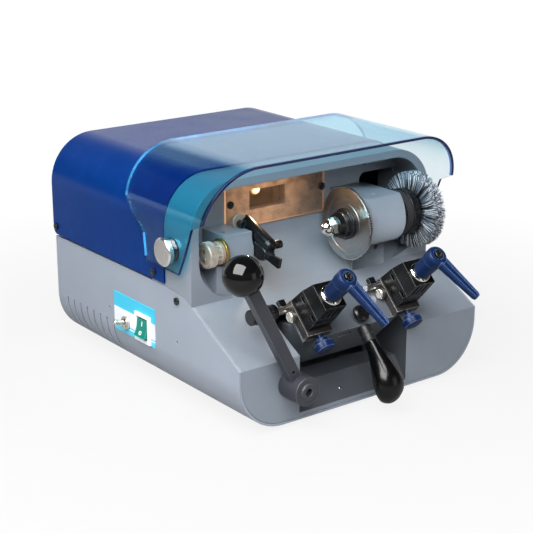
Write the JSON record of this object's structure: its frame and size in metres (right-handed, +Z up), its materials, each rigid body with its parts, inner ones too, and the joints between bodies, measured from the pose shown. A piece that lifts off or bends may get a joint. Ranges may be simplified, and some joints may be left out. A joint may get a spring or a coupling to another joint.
{
  "type": "key duplicating machine",
  "caption": "Bench key duplicating machine: sloped casing with a working bay under a tinted shield, spindle with cutter and brush, tracer, swinging two-clamp carriage and traverse lever.",
  "frame": {"origin": "on the table plane under the middle of the casing", "axes": "+X to the right, +Y to the back, +Z up"},
  "size_m": [0.3596, 0.4452, 0.264],
  "materials": {
    "shell_grey": "satin",
    "casting_grey": "satin",
    "cover_blue": "satin",
    "panel_grey": "satin",
    "bright_steel": "satin",
    "warm_steel": "satin",
    "black_steel": "satin",
    "cutter_steel": "bright",
    "aluminium": "turned",
    "nickel": "polished",
    "brass": "turned",
    "black_plastic": "moulded",
    "gloss_black": "gloss",
    "blue_plastic": "moulded",
    "green_plastic": "gloss",
    "deck_steel": "satin",
    "plate_print": "satin film",
    "clear_plate": "clear",
    "blue_shield": "clear",
    "bulb_glass": "clear",
    "rubber": "moulded",
    "bristle": "bristle",
    "motor_iron": "painted"
  },
  "bodies": {
    "machine": {"base_shell": "shell_grey", "feet": "rubber", "front_casting": "casting_grey", "top_cover": "cover_blue", "rear_panel": "panel_grey", "case_screws": "black_steel", "power_inlet": "black_plastic", "switch_plate": "plate_print", "rocker_bezel": "black_plastic", "toggle_bush": "nickel", "shield_spacers": "black_plastic", "lamp_plate": "clear_plate", "lamp_bulb": "bulb_glass", "lamp_holder": "black_plastic", "spindle_housing": "casting_grey", "spindle_bearings": "bright_steel", "motor_body": "motor_iron", "motor_bracket": "bright_steel", "drive_belt": "rubber", "tracer_block": "casting_grey", "tracer_ring": "brass", "tracer_clamp": "bright_steel", "carriage_shaft": "bright_steel"},
    "shield": {"shield": "blue_shield", "shield_knobs": "aluminium"},
    "rocker": {"rocker": "green_plastic"},
    "toggle": {"toggle_lever": "nickel"},
    "tracer_knob": {"tracer_knob": "nickel"},
    "tracer": {"tracer_body": "black_steel", "tracer_finger": "black_steel"},
    "spindle": {"spindle_shaft": "bright_steel", "cutter": "cutter_steel", "cutter_flange": "black_steel", "cutter_nut": "nickel", "spindle_pulley": "black_steel", "brush_hub": "black_plastic", "brush_bristles": "bristle"},
    "motor_rotor": {"motor_pulley": "aluminium"},
    "traverse_lever": {"lever_hub": "black_steel", "lever_bar": "black_steel", "lever_ball": "gloss_black"},
    "traverse": {"carriage_bushes": "brass"},
    "carriage": {"carriage_frame": "deck_steel", "carriage_handle": "gloss_black", "clamp_bases": "warm_steel", "lower_jaws": "black_steel", "clamp_studs": "bright_steel", "stop_screws": "nickel"},
    "left_jaw": {"left_upper_jaw": "black_steel"},
    "right_jaw": {"right_upper_jaw": "black_steel"},
    "left_lever": {"left_clamp_lever": "blue_plastic", "left_lever_collar": "nickel"},
    "right_lever": {"right_clamp_lever": "blue_plastic", "right_lever_collar": "nickel"},
    "left_thumb": {"left_thumb_knob": "blue_plastic"},
    "right_thumb": {"right_thumb_knob": "blue_plastic"},
    "left_gauge": {"left_gauge": "bright_steel", "gauge_knob": "black_plastic"},
    "right_gauge": {"right_gauge": "black_steel"},
    "lock_knob": {"lock_knob": "black_plastic"}
  },
  "joints": [
    {"name": "shield_hinge", "type": "hinge", "parent": "machine", "child": "shield", "pos_m": [0, -0.066, 0.1705], "axis": [1, 0, 0], "range_deg": [0, 25]},
    {"name": "rocker_tilt", "type": "hinge", "parent": "machine", "child": "rocker", "pos_m": [-0.1568, -0.0075, 0.06975], "axis": [0, -1, 0], "range_deg": [0, 14]},
    {"name": "toggle_tilt", "type": "hinge", "parent": "machine", "child": "toggle", "pos_m": [-0.1598, 0.0267, 0.066], "axis": [0, -1, 0], "range_deg": [0, 24]},
    {"name": "tracer_adjust", "type": "hinge", "parent": "machine", "child": "tracer_knob", "pos_m": [-0.12, -0.095, 0.168], "axis": [1, 0, 0], "range_deg": [-90, 90]},
    {"name": "tracer_shift", "type": "slide", "parent": "machine", "child": "tracer", "axis": [0, -0.9304, -0.3665], "range_m": [-0.0004, 0.0004]},
    {"name": "spindle_spin", "type": "hinge", "parent": "machine", "child": "spindle", "pos_m": [0.07, -0.105, 0.1732], "axis": [1, 0, 0], "continuous": true},
    {"name": "motor_spin", "type": "hinge", "parent": "machine", "child": "motor_rotor", "pos_m": [0.1, 0.075, 0.145], "axis": [1, 0, 0], "continuous": true},
    {"name": "lever_swing", "type": "hinge", "parent": "machine", "child": "traverse_lever", "pos_m": [-0.098, -0.19, 0.048], "axis": [0, 1, 0], "range_deg": [-22.1, 10.1]},
    {"name": "carriage_traverse", "type": "slide", "parent": "machine", "child": "traverse", "axis": [1, 0, 0], "range_m": [-0.022, 0.01]},
    {"name": "carriage_swing", "type": "hinge", "parent": "traverse", "child": "carriage", "pos_m": [0, -0.098, 0.06999], "axis": [-1, 0, 0], "range_deg": [0, 16]},
    {"name": "left_jaw_lift", "type": "slide", "parent": "carriage", "child": "left_jaw", "axis": [0, -0.7071, 0.7071], "range_m": [0, 0.003]},
    {"name": "left_lever_turn", "type": "hinge", "parent": "left_jaw", "child": "left_lever", "pos_m": [-0.0635, -0.19819, 0.13809], "axis": [0, -0.7071, 0.7071], "range_deg": [-40, 50]},
    {"name": "left_thumb_turn", "type": "hinge", "parent": "carriage", "child": "left_thumb", "pos_m": [-0.0635, -0.18674, 0.08633], "axis": [0, -0.7071, -0.7071], "continuous": true},
    {"name": "left_gauge_turn", "type": "hinge", "parent": "carriage", "child": "left_gauge", "pos_m": [-0.0835, -0.15471, 0.11652], "axis": [1, 0, 0], "range_deg": [0, 50]},
    {"name": "right_jaw_lift", "type": "slide", "parent": "carriage", "child": "right_jaw", "axis": [0, -0.7071, 0.7071], "range_m": [0, 0.003]},
    {"name": "right_lever_turn", "type": "hinge", "parent": "right_jaw", "child": "right_lever", "pos_m": [0.0555, -0.19819, 0.13809], "axis": [0, -0.7071, 0.7071], "range_deg": [-40, 50]},
    {"name": "right_thumb_turn", "type": "hinge", "parent": "carriage", "child": "right_thumb", "pos_m": [0.0555, -0.18674, 0.08633], "axis": [0, -0.7071, -0.7071], "continuous": true},
    {"name": "right_gauge_turn", "type": "hinge", "parent": "carriage", "child": "right_gauge", "pos_m": [0.0355, -0.15471, 0.11652], "axis": [1, 0, 0], "range_deg": [0, 50]},
    {"name": "lock_press", "type": "slide", "parent": "carriage", "child": "lock_knob", "axis": [0, -0.7071, 0.7071], "range_m": [-0.004, 0], "stiffness_N_per_m": 300}
  ],
  "couplings": [
    {"joint": "motor_spin", "follows": "spindle_spin", "ratio": 0.85348},
    {"joint": "lever_swing", "follows": "carriage_traverse", "rad_per_m": 17.453},
    {"joint": "tracer_shift", "follows": "tracer_adjust", "m_per_rad": 0.00025}
  ]
}
